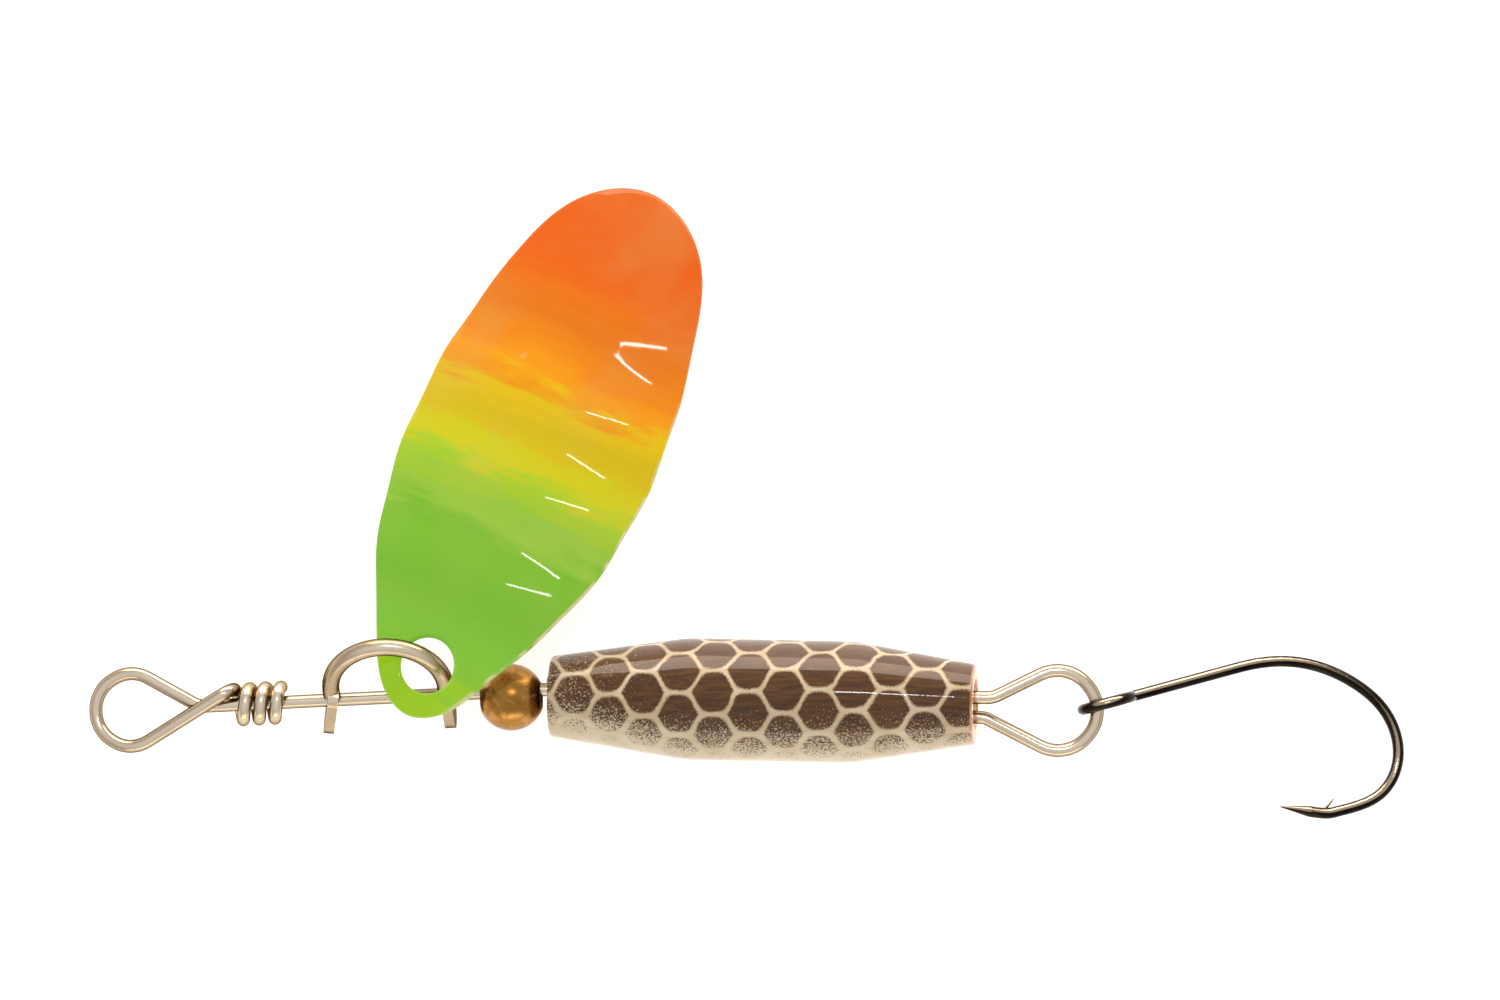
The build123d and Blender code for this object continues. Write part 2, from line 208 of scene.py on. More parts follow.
def drawn_steel(name, colour, rubbed, flank_shade, roughness):
    """Bright-drawn wire: mirror streaks broken by draw marks, tarnish in patches, painted shade on
    the flanks.

    The eye sees a painted highlight, a pale line along the crown, between two browner sides of
    painted shade.
    """
    settings = bpy.context.scene.spinner_wire
    material, tree, shader = start_material(
        name, Metallic=1.0, Roughness=roughness, Specular_Tint=linear("#a08e74"))
    here = add(tree, "TexCoord", {}, out="Object")
    marks = add(tree, "TexNoise", {"Vector": here, "Scale": 1 / settings.draw_lines, "Detail": 3.0})
    tarnish = add(tree, "TexNoise", {"Vector": here, "Scale": 1 / TARNISH_SIZE, "Detail": 4.0})
    tones = add(tree, "ValToRGB", {"Fac": tarnish})
    set_ramp(tones, [(0.30, colour), (0.70, rubbed)])
    # Painted shade: sides that face neither up nor down are darkened to the flank colour.
    level = add(tree, "MapRange", {"Value": facing_up(tree), "From Min": 0.26, "From Max": 0.84})
    flank_shaded = add(tree, "MixRGB", {"Fac": level, "Color1": linear(flank_shade), "Color2": tones})
    # Painted highlight: a near-white line where the wire faces straight up or down.
    crown = add(tree, "MapRange", {
        "Value": facing_up(tree), "From Min": 0.86, "From Max": 0.97, "To Max": 0.75})
    base = add(tree, "MixRGB", {"Fac": crown, "Color1": flank_shaded, "Color2": linear("#fff0da")})
    tree.links.new(base, shader.inputs["Base Color"])
    rough = add(tree, "MapRange", {
        "Value": marks, "From Min": 0.3, "From Max": 0.7,
        "To Min": roughness * 0.75, "To Max": roughness * 1.5})
    tree.links.new(rough, shader.inputs["Roughness"])
    bump = add(tree, "Bump", {"Height": marks, "Strength": 0.08, "Distance": 0.01 * MM})
    tree.links.new(bump, shader.inputs["Normal"])
    return material


def tarnished_brass():
    """Turned brass bead, polished and gone brown with handling: dull patches, warm glow."""
    material, tree, shader = start_material("Tarnished polished brass", Metallic=1.0)
    here = add(tree, "TexCoord", {}, out="Object")
    patches = add(tree, "TexNoise", {"Vector": here, "Scale": 1 / BRASS_PATCH_SIZE, "Detail": 6.0,
                                     "Roughness": 0.62, "Distortion": 0.6})
    tones = add(tree, "ValToRGB", {"Fac": patches})
    set_ramp(tones, [(0.30, "#80521e"), (0.50, "#a87636"), (0.72, "#cca064")])
    tree.links.new(tones, shader.inputs["Base Color"])
    rough = add(tree, "MapRange", {
        "Value": patches, "From Min": 0.3, "From Max": 0.7, "To Min": 0.34, "To Max": 0.20})
    tree.links.new(rough, shader.inputs["Roughness"])
    pits = add(tree, "TexNoise", {"Vector": here, "Scale": 1 / BRASS_PIT_SIZE, "Detail": 2.0})
    bump = add(tree, "Bump", {"Height": pits, "Strength": 0.12, "Distance": 0.02 * MM})
    tree.links.new(bump, shader.inputs["Normal"])
    return material


def black_nickel():
    """Black nickel over a forged hook: near-black, with a pale painted highlight along the side that
    faces up towards the lamps.
    """
    material, tree, shader = start_material("Black nickel plate", Metallic=1.0)
    here = add(tree, "TexCoord", {}, out="Object")
    cloud = add(tree, "TexNoise", {"Vector": here, "Scale": 1 / NICKEL_CLOUD_SIZE, "Detail": 5.0})
    tones = add(tree, "ValToRGB", {"Fac": cloud})
    set_ramp(tones, [(0.30, "#1a1512"), (0.70, "#332b26")])
    normal = add(tree, "TexCoord", {}, out="Normal")
    toward = Vector(PAINTED_HIGHLIGHT_SIDE).normalized()
    facing = add(tree, "VectorMath", {0: normal, 1: toward}, out="Value", operation="DOT_PRODUCT")
    # Painted highlight: pale where the surface faces that one way.
    painted_highlight = add(tree, "MapRange", {
        "Value": facing, "From Min": 0.86, "From Max": 0.93, "To Max": 0.85})
    base = add(tree, "MixRGB", {"Fac": painted_highlight, "Color1": tones, "Color2": linear("#c8b49a")})
    tree.links.new(base, shader.inputs["Base Color"])
    scuffs = add(tree, "TexNoise", {"Vector": here, "Scale": 1 / NICKEL_SCUFF_SIZE, "Detail": 3.0})
    rough = add(tree, "MapRange", {
        "Value": scuffs, "From Min": 0.3, "From Max": 0.7, "To Min": 0.10, "To Max": 0.24})
    tree.links.new(rough, shader.inputs["Roughness"])
    bump = add(tree, "Bump", {"Height": scuffs, "Strength": 0.06, "Distance": 0.01 * MM})
    tree.links.new(bump, shader.inputs["Normal"])
    return material


class SPINNER_OT_wire(Operator):
    """Finish the wire form in bright-drawn stainless steel"""
    bl_idname = "spinner.wire"
    bl_label = "Wire form"

    def execute(self, context):
        tint = context.scene.spinner_wire.tint
        # The wire gets a darker painted flank shade and a painted crown highlight.
        steel = drawn_steel("Drawn stainless wire", tint, "#d2c2a8", "#685844", 0.16)
        # The wraps get a lighter painted flank shade, so their flanks stay bright.
        wound = drawn_steel("Stainless wraps, light painted flank shade", "#d8c6aa", "#e6d8c0", "#b8a488", 0.20)
        for node in WIRE_NODES:
            finish_node(node, wound if node == "wire_eye_wraps" else steel)
        return {"FINISHED"}


class SPINNER_OT_clevis(Operator):
    """Finish the clevis in nickelled wire, a little duller than the shaft"""
    bl_idname = "spinner.clevis"
    bl_label = "Clevis"

    def execute(self, context):
        # Painted shade on the flanks and a painted highlight along the crown, as on the wire.
        finish_node("clevis", drawn_steel(
            "Nickelled clevis wire", "#b8a284", "#cebb9c", "#6e5e4a", 0.24))
        return {"FINISHED"}


class SPINNER_OT_bead(Operator):
    """Finish the bead in tarnished brass"""
    bl_idname = "spinner.bead"
    bl_label = "Bead"

    def execute(self, context):
        finish_node("bead", tarnished_brass())
        return {"FINISHED"}


class SPINNER_OT_hook(Operator):
    """Finish the hook in black nickel"""
    bl_idname = "spinner.hook"
    bl_label = "Hook"

    def execute(self, context):
        finish_node("hook", black_nickel())
        return {"FINISHED"}


# ---- body ----------------------------------------------------------------------------

# Distances are in millimetres and angles in degrees round the body from its top, plus towards
# the dark back and minus towards the pale belly.
NET_START = 1.65            # first column of scales behind the front
NET_WANDER = 0.14           # how far the net strays
NET_TWIST = -0.040          # drift round the body for each millimetre along it
NET_TURN = -0.08            # shift of the whole net round the body
RAGGED_EDGE = 0.12          # how far droplets creep past the edge of a scale
NET_LIFT = 0.09             # wider lines where the net stood off the body
SPRAY_FRONT = 8.0           # the spray is thinner ahead of this
SPRAY_BELLY = -82           # last droplets on the belly
SPRAY_STOP = (150, 120)     # the spray fades out under the back
BACK_SHEEN = (22, 60)       # painted reflection: the brown is paler towards the back
BARE_REAR = (0.16, 0.08)    # bare metal starts this far before the rear face
BARE_BORE = (1.42, 1.36)    # and inside this radius
PAINT_WANDER_SIZE = 1.6 * MM
STREAK_SIZE = 0.22 * MM
ORANGE_PEEL_SIZE = 0.5 * MM


def body_axes():
    """Front centre of the body, its axis, and the directions aside and up from it."""
    joint = JOINTS["body_spin"]
    front = Vector(joint["pos_m"])
    axis = Vector(joint["axis"]).normalized()
    side = (Vector((0, 1, 0)) - axis * axis.y).normalized()
    return front, axis, side, axis.cross(side)


def body_length():
    """Length of the body, from the reach of its node along its own axis."""
    front, axis = body_axes()[:2]
    return max((v.co - front).dot(axis) for v in frame["nodes"]["body"].data.vertices)


def scale_net(tree, along, arc, settings):
    """Distance in millimetres inward from the nearest edge of a hexagonal scale."""
    column = settings.column / MM
    half_row = settings.row / MM / 2
    across = column / math.sqrt(3)
    squeeze = across / half_row
    first = (
        add(tree, "Math", {0: along, 1: column}, operation="PINGPONG"),
        add(tree, "Math", {0: arc, 1: half_row}, operation="PINGPONG"))
    second = (
        add(tree, "Math", {0: column, 1: first[0]}, operation="SUBTRACT"),
        add(tree, "Math", {0: half_row, 1: first[1]}, operation="SUBTRACT"))
    reaches = []
    for dx, dy in (first, second):
        tall = add(tree, "Math", {0: dy, 1: squeeze}, operation="MULTIPLY")
        half_tall = add(tree, "Math", {0: tall, 1: 0.5}, operation="MULTIPLY")
        slant = add(tree, "Math", {0: dx, 1: math.sqrt(3) / 2, 2: half_tall},
                    operation="MULTIPLY_ADD")
        reaches.append(add(tree, "Math", {0: tall, 1: slant, 2: settings.rounding / MM},
                           operation="SMOOTH_MAX"))
    nearest = add(tree, "Math", {0: reaches[0], 1: reaches[1]}, operation="MINIMUM")
    return add(tree, "Math", {0: across, 1: nearest}, operation="SUBTRACT")


def airbrushed_body():
    """Copper slug under pearl base coat, scales airbrushed through a net, thick clear lacquer.

    The eye sees brown scales in a pale net, grainy towards the belly, under one narrow bright line;
    the brown is painted paler towards the back as a painted reflection.
    """
    settings = bpy.context.scene.spinner_body
    material, tree, shader = start_material(
        "Airbrushed lacquer on copper", Roughness=0.5, Specular_IOR_Level=0.1, Coat_Weight=0.85,
        Coat_Roughness=0.04)
    front, axis, side, up = body_axes()
    along = place_along(tree, front, axis)
    aside = place_along(tree, front, side)
    above = place_along(tree, front, up)
    angle = add(tree, "Math", {0: aside, 1: above}, operation="ARCTAN2")
    squares = [add(tree, "Math", {0: v, 1: v}, operation="MULTIPLY") for v in (aside, above)]
    square = add(tree, "Math", {0: squares[0], 1: squares[1]}, operation="ADD")
    radius = add(tree, "Math", {0: square}, operation="SQRT")
    arc = add(tree, "Math", {0: angle, 1: radius}, operation="MULTIPLY")

    here = add(tree, "TexCoord", {}, out="Object")
    wander = add(tree, "TexNoise", {"Vector": here, "Scale": 1 / PAINT_WANDER_SIZE, "Detail": 2.0})
    stray = add(tree, "MapRange", {"Value": wander, "To Min": -NET_WANDER, "To Max": NET_WANDER})
    shifted = add(tree, "Math", {0: along, 1: NET_START}, operation="SUBTRACT")
    net_along = add(tree, "Math", {0: shifted, 1: stray}, operation="ADD")
    drift = add(tree, "Math", {0: along, 1: NET_TWIST, 2: NET_TURN}, operation="MULTIPLY_ADD")
    drifted = add(tree, "Math", {0: arc, 1: drift}, operation="ADD")
    net_arc = add(tree, "Math", {0: drifted, 1: stray}, operation="SUBTRACT")
    inward = scale_net(tree, net_along, net_arc, settings)

    grains = add(tree, "TexNoise", {"Vector": here, "Scale": 1 / settings.grain, "Detail": 3.0,
                                    "Roughness": 0.6})
    ragged = add(tree, "MapRange", {"Value": grains, "To Min": -RAGGED_EDGE, "To Max": RAGGED_EDGE})
    edge = add(tree, "Math", {0: inward, 1: ragged}, operation="ADD")
    half_net = settings.net / MM / 2
    # The net stands off the body towards the belly, and the spray misses more of each scale.
    lifted = add(tree, "MapRange", {
        "Value": angle, "From Min": math.radians(-55), "From Max": math.radians(5),
        "To Min": half_net + NET_LIFT, "To Max": half_net})
    past_net = add(tree, "Math", {0: edge, 1: lifted}, operation="SUBTRACT")
    in_cell = add(tree, "MapRange", {"Value": past_net, "From Min": -0.05, "From Max": 0.07})

    # The spray comes from the back, so it thins into separate droplets towards the belly.
    reach = add(tree, "MapRange", {
        "Value": angle, "From Min": math.radians(SPRAY_BELLY), "From Max": 0.0,
        "To Min": 0.31, "To Max": 0.74})
    at_front = add(tree, "MapRange", {
        "Value": along, "From Min": 0.0, "From Max": SPRAY_FRONT, "To Min": 0.14, "To Max": 0.0})
    thinned = add(tree, "Math", {0: reach, 1: at_front}, operation="SUBTRACT")
    droplets = add(tree, "Math", {0: thinned, 1: grains}, operation="SUBTRACT")
    covered = add(tree, "MapRange", {"Value": droplets, "From Min": -0.06, "From Max": 0.06})
    far_side = add(tree, "MapRange", {
        "Value": angle, "From Min": math.radians(SPRAY_STOP[0]),
        "From Max": math.radians(SPRAY_STOP[1])})
    upper = add(tree, "Math", {0: covered, 1: far_side}, operation="MULTIPLY")
    painted = add(tree, "Math", {0: in_cell, 1: upper}, operation="MULTIPLY")

    streak_space = add(tree, "Mapping", {"Vector": here, "Scale": (0.12, 1.0, 1.0)})
    streaks = add(tree, "TexNoise", {
        "Vector": streak_space, "Scale": 1 / STREAK_SIZE, "Detail": 3.0})
    brown = add(tree, "ValToRGB", {"Fac": streaks})
    set_ramp(brown, [(0.35, "#442606"), (0.65, "#5c3809")])
    # Painted reflection: the brown is mixed paler towards the back, where a lamp's sheen falls on
    # the body.
    back_sheen = add(tree, "MapRange", {
        "Value": angle, "From Min": math.radians(BACK_SHEEN[0]),
        "From Max": math.radians(BACK_SHEEN[1]), "To Max": 0.40})
    sprayed = add(tree, "MixRGB", {"Fac": back_sheen, "Color1": brown, "Color2": linear("#75593e")})
    pearl = add(tree, "ValToRGB", {"Fac": wander})
    set_ramp(pearl, [(0.30, "#c6b08e"), (0.70, "#d6c2a4")])
    coloured = add(tree, "MixRGB", {"Fac": painted, "Color1": pearl, "Color2": sprayed})

    # Bare copper shows on the rear face, where the slug was held, and inside the bore.
    length = body_length() / MM
    past_rear = add(tree, "MapRange", {
        "Value": along, "From Min": length - BARE_REAR[0], "From Max": length - BARE_REAR[1]})
    in_bore = add(tree, "MapRange", {
        "Value": radius, "From Min": BARE_BORE[0], "From Max": BARE_BORE[1]})
    bare = add(tree, "Math", {0: past_rear, 1: in_bore}, operation="MAXIMUM")
    copper = add(tree, "ValToRGB", {"Fac": wander})
    set_ramp(copper, [(0.30, "#c8865a"), (0.70, "#e8b48c")])
    base = add(tree, "MixRGB", {"Fac": bare, "Color1": coloured, "Color2": copper})
    tree.links.new(base, shader.inputs["Base Color"])
    tree.links.new(bare, shader.inputs["Metallic"])
    orange_peel = add(tree, "TexNoise", {
        "Vector": here, "Scale": 1 / ORANGE_PEEL_SIZE, "Detail": 2.0})
    bump = add(tree, "Bump", {"Height": orange_peel, "Strength": 0.10, "Distance": 0.02 * MM})
    tree.links.new(bump, shader.inputs["Coat Normal"])
    return material


class SPINNER_OT_body(Operator):
    """Paint the body: pearl coat, airbrushed scales, bare copper rear face"""
    bl_idname = "spinner.body"
    bl_label = "Body"

    def execute(self, context):
        finish_node("body", airbrushed_body())
        return {"FINISHED"}


# ---- blade ---------------------------------------------------------------------------

BLADE_AIM = math.radians(65.0)      # long axis against the shaft, seen from above
BLADE_DIP = math.radians(6.2)       # the far end dips to the table
BLADE_ROLL = math.radians(17.0)     # the edge next to the bead is rolled up
HOLE_FROM_TIP = 3.15 * MM
RIPPLE_CREST = 14.9 * MM            # one crest, from the tip
RIPPLE_REACH = 10.5 * MM            # ripples die out this far to either side of that crest
OUTLINE_SIZE = (34.5, 7.68)         # length and half width that the outline is drawn at, mm
OUTLINE_SIDE = [(1.2, 2.3), (3.5, 3.7), (8.5, 6.1), (18.6, 7.68), (27.9, 6.2), (32.3, 4.25)]
SCATTERED_SHARE = 0.40              # of the lacquer's colour, the rest is a painted glow
# Strength of the painted glow, which evens out the shade on the cupped blade.
PAINTED_GLOW = 0.50
BLADE_CLOUD_SIZE = 6.0 * MM
RIM_HIGHLIGHT_PATCH_SIZE = 1.4 * MM
BLADE_DIMPLE_SIZE = 1.6 * MM
STAMP_CLOUD_SIZE = 3.0 * MM
STAMP_MARK_SIZE = 0.10 * MM


def blade_turn():
    """Rotation that lays the blade as it rests: X to its far end, Z out of its painted face."""
    along = Vector((math.cos(BLADE_AIM), math.sin(BLADE_AIM), -math.tan(BLADE_DIP))).normalized()
    left = Vector((-math.sin(BLADE_AIM), math.cos(BLADE_AIM), 0.0))
    level = Matrix((along, left, along.cross(left))).transposed()
    return level @ Matrix.Rotation(-BLADE_ROLL, 3, "X")


def sheet_height(along, across, blade):
    """Height of the cupped, rippled sheet over its rim."""
    middle = blade.length / 2
    cup = 1 - 0.95 * (across / blade.half_width) ** 2 - 0.90 * ((along - middle) / middle) ** 2
    fade = 1 / (1 + ((along - RIPPLE_CREST) / RIPPLE_REACH) ** 6)
    wave = math.cos(2 * math.pi * (along - RIPPLE_CREST) / blade.ripple_length)
    return blade.cup * cup + blade.ripple * fade * wave


def closed_curve(points, count):
    """Evenly spaced points along a smooth closed curve through the given points."""
    points = np.array(points)
    total = len(points)
    gaps = np.linalg.norm(np.roll(points, -1, axis=0) - points, axis=1)
    matrix = np.zeros((total, total))
    target = np.zeros((total, 2))
    for i in range(total):
        before = gaps[i - 1]
        after = gaps[i]
        ahead = (i + 1) % total
        matrix[i, i - 1] = before
        matrix[i, i] = 2 * (before + after)
        matrix[i, ahead] = after
        target[i] = 6 * ((points[ahead] - points[i]) / after - (points[i] - points[i - 1]) / before)
    bends = np.linalg.solve(matrix, target)
    dense = []
    for i in range(total):
        ahead = (i + 1) % total
        gap = gaps[i]
        for part in np.arange(0, 1, 1 / 200):
            a = 1 - part
            curve = (a ** 3 - a) * bends[i] + (part ** 3 - part) * bends[ahead]
            dense.append(a * points[i] + part * points[ahead] + curve * gap ** 2 / 6)
    dense = np.array(dense)
    steps = np.linalg.norm(np.roll(dense, -1, axis=0) - dense, axis=1)
    places = np.concatenate(([0], np.cumsum(steps)))
    wanted = np.arange(count) * places[-1] / count
    closed = np.vstack((dense, dense[:1]))
    return np.column_stack([np.interp(wanted, places, closed[:, k]) for k in (0, 1)])


def blade_rim(blade, count):
    """Outline of the blade: round at the holed tip, widest past the middle."""
    stretch = blade.length / OUTLINE_SIZE[0]
    spread = blade.half_width / OUTLINE_SIZE[1]
    left = [(x * stretch, y * spread) for x, y in OUTLINE_SIDE]
    right = [(x, -y) for x, y in reversed(left)]
    return closed_curve([(0, 0)] + left + [(blade.length, 0)] + right, count)


def blade_mesh(blade):
    """The stamped sheet: rings of quads from hole to rim on both faces, with round edges."""
    around = 288
    rings = 84
    edge_steps = 6
    rim = blade_rim(blade, around)
    centre = np.array((HOLE_FROM_TIP, 0.0))
    headings = rim - centre
    headings /= np.linalg.norm(headings, axis=1)[:, None]
    hole = centre + headings * blade.hole
    half = blade.thickness / 2
    lip = half * 0.9
    front, edge, back = range(3)

    def ring_points(share, level, inset_rim, inset_hole):
        """One closed ring at a share of the way from hole to rim, at a level through the sheet."""
        inner = hole + headings * inset_hole
        outer = rim - headings * inset_rim
        flat = inner + (outer - inner) * share
        return [(x, y, sheet_height(x, y, blade) + half + level) for x, y in flat]

    loops = []
    for i in range(rings + 1):
        loops.append((ring_points(i / rings, half, lip, lip), front))
    for i in range(1, edge_steps):
        turn = math.pi * i / edge_steps
        outward = lip * (1 - math.sin(turn))
        loops.append((ring_points(1.0, half * math.cos(turn), outward, lip), edge))
    for i in range(rings + 1):
        loops.append((ring_points(1 - i / rings, -half, lip, lip), back))
    for i in range(1, edge_steps):
        turn = math.pi * i / edge_steps
        inward = lip * (1 - math.sin(turn))
        loops.append((ring_points(0.0, -half * math.cos(turn), lip, inward), edge))

    mesh = bpy.data.meshes.new("blade_sheet")
    build = bmesh.new()
    rows = [([build.verts.new(p) for p in points], slot) for points, slot in loops]
    for (row, slot), (following, next_slot) in zip(rows, rows[1:] + rows[:1]):
        for i in range(around):
            j = (i + 1) % around
            face = build.faces.new((row[i], following[i], following[j], row[j]))
            face.smooth = True
            face.material_index = slot if slot == next_slot else edge
    bmesh.ops.recalc_face_normals(build, faces=build.faces)
    turn = blade_turn()
    for vertex in build.verts:
        vertex.co = turn @ vertex.co
    build.to_mesh(mesh)
    build.free()
    return mesh


def place_like(mesh, node):
    """Moves a mesh so that its box has the same middle as a CAD node's."""
    places = np.array([v.co for v in mesh.vertices])
    low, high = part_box(node)
    middle = Vector((places.min(0) + places.max(0)) / 2)
    mesh.transform(Matrix.Translation((low + high) / 2 - middle))


def blade_lacquer(name, tip, rim_highlight):
    """Fluorescent-coloured lacquer sprayed on white: lime, yellow, orange, with a painted glow; a
    painted highlight in patches on the rim.
    """
    material, tree, shader = start_material(
        name, Roughness=0.45, Specular_IOR_Level=0.0, Coat_Weight=0.65, Coat_Roughness=0.05,
        Emission_Strength=PAINTED_GLOW)
    turn = blade_turn()
    along = place_along(tree, tip, turn @ Vector((1, 0, 0)))
    across = place_along(tree, tip, turn @ Vector((0, 1, 0)))
    here = add(tree, "TexCoord", {}, out="Object")
    cloud = add(tree, "TexNoise", {"Vector": here, "Scale": 1 / BLADE_CLOUD_SIZE, "Detail": 3.0,
                                   "Distortion": 0.4})
    # Passes of the airbrush ran across the blade, so its bands feather in that direction.
    stretched = add(tree, "Math", {0: across, 1: 0.16}, operation="MULTIPLY")
    passes = add(tree, "CombineXYZ", {"X": along, "Y": stretched})
    streaks = add(tree, "TexNoise", {
        "Vector": passes, "Scale": 0.9, "Detail": 4.0, "Roughness": 0.6})
    stray = add(tree, "MapRange", {"Value": cloud, "To Min": -1.6, "To Max": 1.6})
    feather = add(tree, "MapRange", {"Value": streaks, "To Min": -2.4, "To Max": 2.4})
    moved = add(tree, "Math", {0: along, 1: stray}, operation="ADD")
    feathered = add(tree, "Math", {0: moved, 1: feather}, operation="ADD")
    place = add(tree, "MapRange", {
        "Value": feathered, "From Min": 0.0, "From Max": OUTLINE_SIZE[0]})
    tones = add(tree, "ValToRGB", {"Fac": place})
    # The lacquer's bands run lime at the tip to orange at the far end; their tones are also lowered
    # where the blade takes more light, painted shade that evens out the lighting along it.
    set_ramp(tones, [
        (0.03, "#a4d81c"), (0.14, "#86cb38"), (0.32, "#80c42c"), (0.38, "#a0d43c"),
        (0.43, "#b0d62a"), (0.47, "#d8d40c"), (0.53, "#e4c600"), (0.58, "#f4cc00"),
        (0.62, "#fca000"), (0.69, "#f98b00"), (0.75, "#f57d00"), (0.82, "#f46a00"),
        (0.92, "#f36500")])
    paleness = add(tree, "MapRange", {
        "Value": cloud, "From Min": 0.45, "From Max": 0.75, "To Max": 0.16})
    clouded = add(tree, "MixRGB", {"Fac": paleness, "Color1": tones, "Color2": linear("#d8cc78")})

    # Painted highlight: pale patches along the right side of the rim towards the tip, at the
    # strength given for each material.
    rim_highlight_noise = add(tree, "TexNoise", {"Vector": here, "Scale": 1 / RIM_HIGHLIGHT_PATCH_SIZE, "Detail": 4.0})
    on_right = add(tree, "MapRange", {"Value": across, "From Min": -1.0, "From Max": -3.5})
    near_tip = add(tree, "MapRange", {"Value": along, "From Min": 25.0, "From Max": 17.0})
    lit_rim_side = add(tree, "Math", {0: on_right, 1: near_tip}, operation="MULTIPLY")
    rim_highlight_patches = add(tree, "MapRange", {
        "Value": rim_highlight_noise, "From Min": 0.42, "From Max": 0.56, "To Max": rim_highlight})
    rim_highlight_mask = add(tree, "Math", {0: lit_rim_side, 1: rim_highlight_patches}, operation="MULTIPLY")
    base = add(tree, "MixRGB", {"Fac": rim_highlight_mask, "Color1": clouded, "Color2": linear("#e6dca6")})
    # Part of the colour is scattered and part is a painted glow, which the cup can't shade.
    scattered = add(tree, "MixRGB", {
        "Fac": SCATTERED_SHARE, "Color1": linear("#000000"), "Color2": base})
    tree.links.new(scattered, shader.inputs["Base Color"])
    tree.links.new(base, shader.inputs["Emission Color"])
    dimples = add(tree, "TexNoise", {
        "Vector": here, "Scale": 1 / BLADE_DIMPLE_SIZE, "Detail": 2.0})
    bump = add(tree, "Bump", {"Height": dimples, "Strength": 0.12, "Distance": 0.05 * MM})
    tree.links.new(bump, shader.inputs["Coat Normal"])
    return material


def blade_back():
    """Hollow back of the blade, in bright nickel plate: a soft mirror, clouded by the stamp."""
    material, tree, shader = start_material("Bright nickel on brass", Metallic=1.0)
    here = add(tree, "TexCoord", {}, out="Object")
    cloud = add(tree, "TexNoise", {"Vector": here, "Scale": 1 / STAMP_CLOUD_SIZE, "Detail": 5.0})
    tones = add(tree, "ValToRGB", {"Fac": cloud})
    set_ramp(tones, [(0.30, "#b9b2a4"), (0.70, "#dcd6ca")])
    tree.links.new(tones, shader.inputs["Base Color"])
    marks = add(tree, "TexNoise", {"Vector": here, "Scale": 1 / STAMP_MARK_SIZE, "Detail": 3.0})
    rough = add(tree, "MapRange", {
        "Value": marks, "From Min": 0.3, "From Max": 0.7, "To Min": 0.12, "To Max": 0.26})
    tree.links.new(rough, shader.inputs["Roughness"])
    return material


class SPINNER_OT_blade(Operator):
    """Stamp the blade's sheet and lacquer it"""
    bl_idname = "spinner.blade"
    bl_label = "Blade"

    def execute(self, context):
        settings = context.scene.spinner_blade
        mesh = blade_mesh(settings)
        place_like(mesh, "blade")
        blade = bpy.data.objects.new("blade_sheet", mesh)
        context.scene.collection.objects.link(blade)
        axis = blade_turn() @ Vector((1, 0, 0))
        tip = min((v.co for v in mesh.vertices), key=lambda place: place.dot(axis)).copy()
        # The face gets no painted rim highlight; the edge faces get it in full.
        mesh.materials.append(blade_lacquer("Sprayed lacquer with painted glow", tip, 0.0))
        mesh.materials.append(blade_lacquer("Rim lacquer with painted glow and highlight", tip, 1.0))
        mesh.materials.append(blade_back())
        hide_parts("blade")
        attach(blade, "blade")
        return {"FINISHED"}


# ---- stage ---------------------------------------------------------------------------

TABLE_HALF = 0.9
TABLE_GAP = 0.02 * MM
TABLE_GLOW = 0.56
TABLE_HAZE_SIZE = 40 * MM
ROOM_LIGHT = 0.66
CAMERA_OVER = (0.20 * MM, 0.15 * MM)    # point of the table that the camera hangs over
CAMERA_ABOVE = 4 * MM                   # level of the lure that the view width is meant at
SENSOR = 36.0


def add_light(name, place, aim, strength, size, size_y, tint=(1, 1, 1)):
    """Rectangular area light at a place, turned to a point."""
    data = bpy.data.lights.new(name, "AREA")
    data.energy = strength
    data.shape = "RECTANGLE"
    data.size = size
    data.size_y = size_y
    data.color = tint
    lamp = bpy.data.objects.new(name, data)
    lamp.location = place
    lamp.rotation_euler = (Vector(aim) - Vector(place)).to_track_quat("-Z", "Y").to_euler()
    bpy.context.scene.collection.objects.link(lamp)


def table_top():
    """White acrylic light table: pale, matt, lit softly from inside."""
    material, tree, shader = start_material("Opal acrylic sheet", Roughness=0.6)
    here = add(tree, "TexCoord", {}, out="Object")
    haze = add(tree, "TexNoise", {"Vector": here, "Scale": 1 / TABLE_HAZE_SIZE, "Detail": 2.0})
    tones = add(tree, "ValToRGB", {"Fac": haze})
    set_ramp(tones, [(0.3, "#f4f4f2"), (0.7, "#f9f9f8")])
    tree.links.new(tones, shader.inputs["Base Color"])
    shader.inputs["Emission Color"].default_value = linear("#ffffff")
    shader.inputs["Emission Strength"].default_value = TABLE_GLOW
    return material


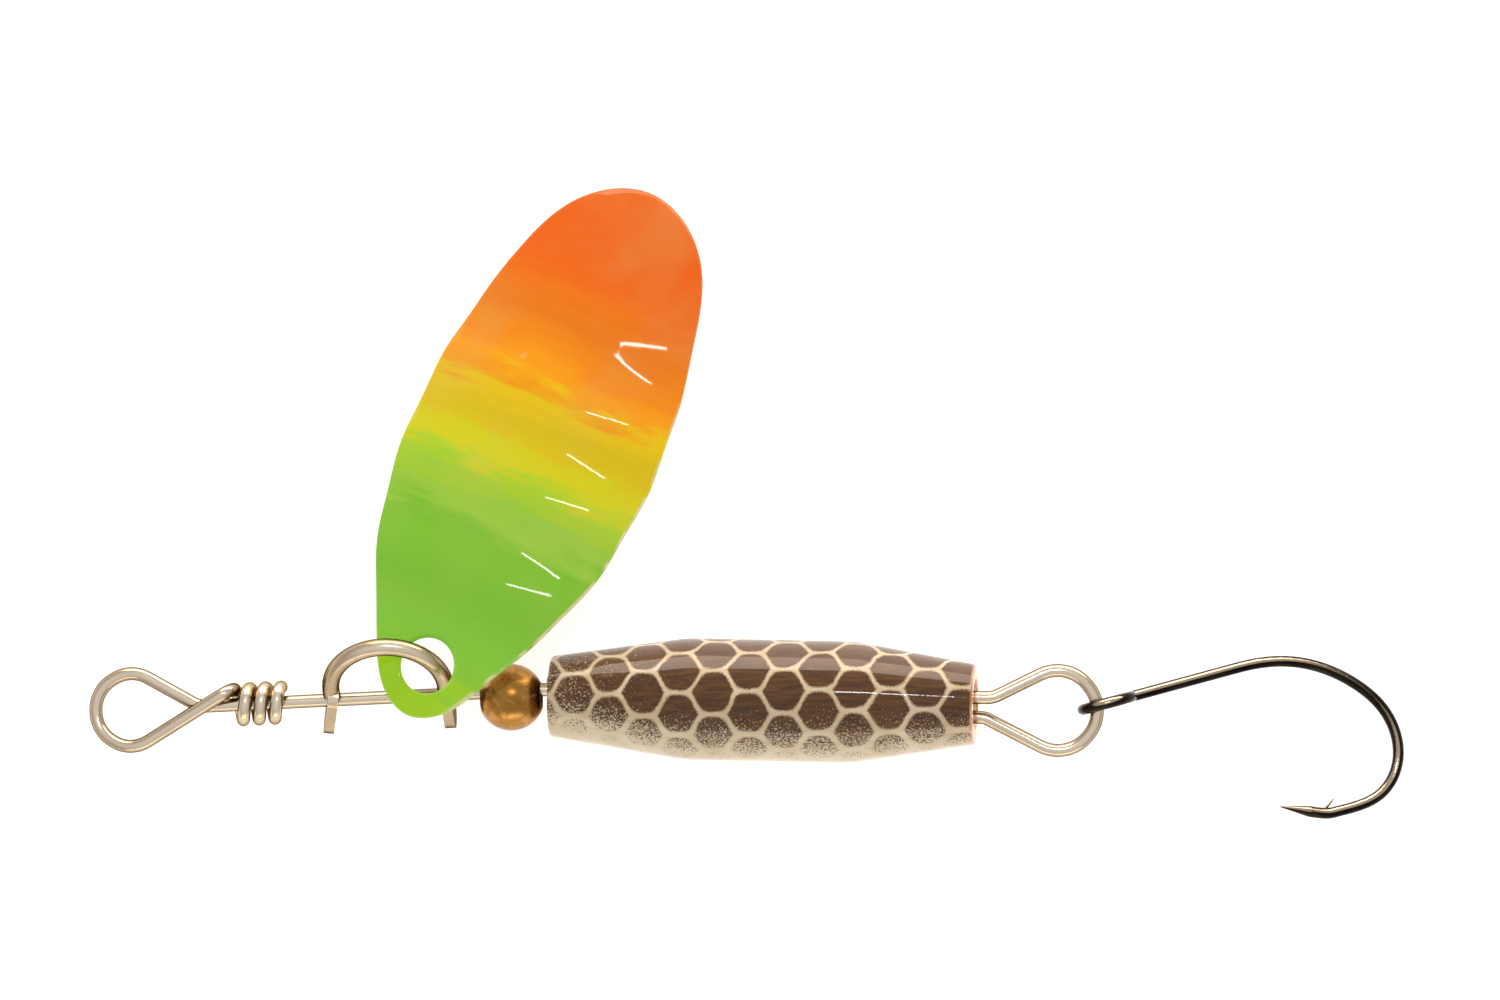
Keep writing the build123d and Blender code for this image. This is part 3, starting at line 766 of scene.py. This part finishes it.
class SPINNER_OT_stage(Operator):
    """Lay the pale table, set the soft lights and hang the camera over the lure"""
    bl_idname = "spinner.stage"
    bl_label = "Stage"

    def execute(self, context):
        scene = context.scene
        settings = scene.spinner_stage
        scene.view_settings.view_transform = "Standard"
        build = bmesh.new()
        corners = ((-1, -1), (1, -1), (1, 1), (-1, 1))
        build.faces.new([build.verts.new((x * TABLE_HALF, y * TABLE_HALF, 0)) for x, y in corners])
        mesh = bpy.data.meshes.new("table")
        build.to_mesh(mesh)
        build.free()
        mesh.materials.append(table_top())
        table = bpy.data.objects.new("table", mesh)
        table.location.z = CAD_BOX[0].z - TABLE_GAP
        scene.collection.objects.link(table)

        world = bpy.data.worlds.new("Soft room")
        world.use_nodes = True
        back = world.node_tree.nodes["Background"]
        back.inputs["Color"].default_value = linear("#fbfaf8")
        back.inputs["Strength"].default_value = ROOM_LIGHT
        scene.world = world

        middle = (CAD_BOX[0] + CAD_BOX[1]) / 2
        # A tall warm panel past the blade, a thin strip for the bright line, a card in front.
        add_light("Back panel", (0.12, 0.50, 0.135), (0.12, 0.0, 0.135), 3.2, 0.80, 0.27,
                  (1.0, 0.86, 0.72))
        add_light("Overhead strip", (0.0006, 0.140, 0.44), middle, 0.208, 0.158, 0.013)
        add_light("Front card", (0.0, -0.50, 0.16), (0.0, 0.0, 0.0), 0.55, 0.60, 0.20,
                  (1.0, 0.88, 0.76))

        camera = bpy.data.objects.new("Camera", bpy.data.cameras.new("Camera"))
        camera.data.sensor_width = SENSOR
        camera.data.lens = SENSOR * settings.distance / settings.view_width
        camera.data.clip_start = 0.01
        camera.location = (*CAMERA_OVER, settings.distance + CAMERA_ABOVE)
        scene.collection.objects.link(camera)
        scene.camera = camera
        return {"FINISHED"}


class SPINNER_PT_panel(Panel):
    """Lists the spinner's pieces in the order they are made"""
    bl_label = "Inline spinner"
    bl_space_type = "VIEW_3D"
    bl_region_type = "UI"
    bl_category = "Spinner"

    def draw(self, context):
        for operator in OPERATORS:
            self.layout.operator(operator.bl_idname)


GROUPS = {
    "spinner_wire": SPINNER_PG_wire,
    "spinner_blade": SPINNER_PG_blade,
    "spinner_body": SPINNER_PG_body,
    "spinner_stage": SPINNER_PG_stage,
}
OPERATORS = (
    SPINNER_OT_wire, SPINNER_OT_clevis, SPINNER_OT_bead, SPINNER_OT_body, SPINNER_OT_hook,
    SPINNER_OT_blade, SPINNER_OT_stage)


def register():
    for cls in (*GROUPS.values(), *OPERATORS, SPINNER_PT_panel):
        bpy.utils.register_class(cls)
    for name, group in GROUPS.items():
        setattr(bpy.types.Scene, name, PointerProperty(type=group))


def unregister():
    for name in GROUPS:
        delattr(bpy.types.Scene, name)
    for cls in (SPINNER_PT_panel, *reversed(OPERATORS), *reversed(list(GROUPS.values()))):
        bpy.utils.unregister_class(cls)


def main():
    register()
    bpy.ops.spinner.wire()
    bpy.ops.spinner.clevis()
    bpy.ops.spinner.bead()
    bpy.ops.spinner.body()
    bpy.ops.spinner.hook()
    bpy.ops.spinner.blade()
    bpy.ops.spinner.stage()


if __name__ == "__main__":
    main()
